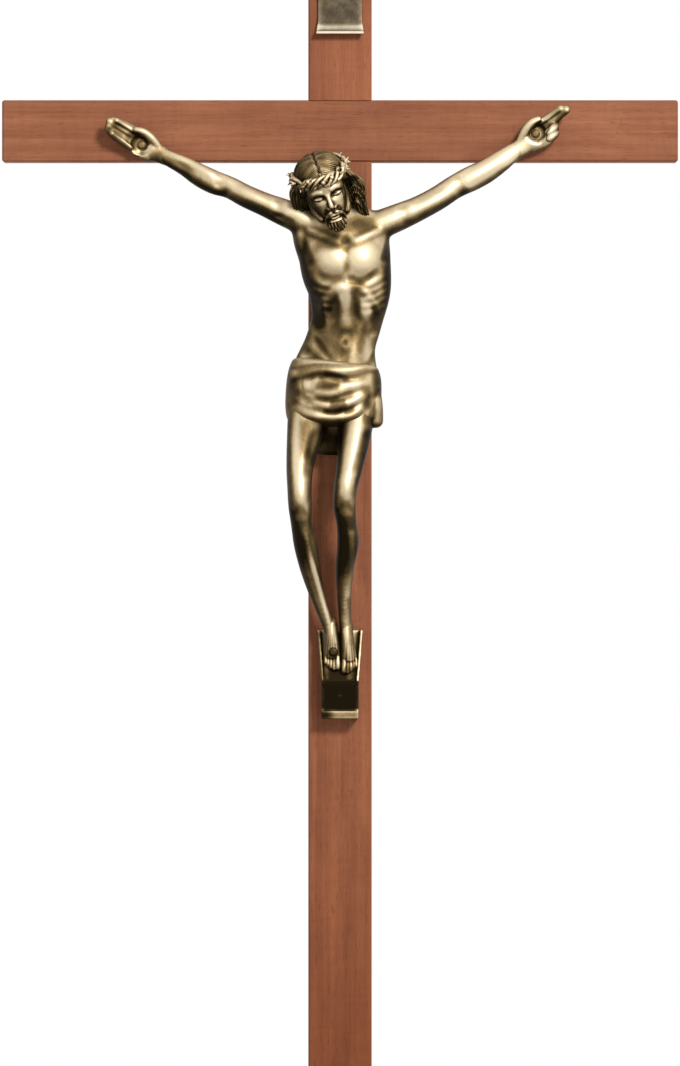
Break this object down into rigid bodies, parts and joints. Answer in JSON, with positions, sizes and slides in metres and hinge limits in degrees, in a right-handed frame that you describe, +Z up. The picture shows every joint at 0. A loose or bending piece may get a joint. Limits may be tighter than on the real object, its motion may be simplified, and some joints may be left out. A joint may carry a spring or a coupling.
{
  "type": "wall crucifix",
  "caption": "Wooden wall crucifix: half-lapped timbers, a cast figure nailed at the hands and feet, a sloped foot block and a bare scroll, hung by a blind hole in its back",
  "frame": {"origin": "mouth of the hanging hole, on the flat back of the upright", "axes": "+X to the viewer's right along the crossbar, +Y out of the back towards the wall, +Z up along the upright"},
  "size_m": [0.16, 0.0322, 0.3],
  "materials": {
    "timber": "satin red-brown hardwood",
    "cast_metal": "antiqued, burnished high spots over dark recesses",
    "nail_metal": "antiqued"
  },
  "bodies": {
    "root": {"upright": "timber", "crossbar": "timber", "corpus": "cast_metal", "foot_block": "cast_metal", "foot_nail": "nail_metal", "right_hand_nail": "nail_metal", "left_hand_nail": "nail_metal", "title_scroll": "cast_metal", "title_pins": "nail_metal"}
  },
  "joints": []
}
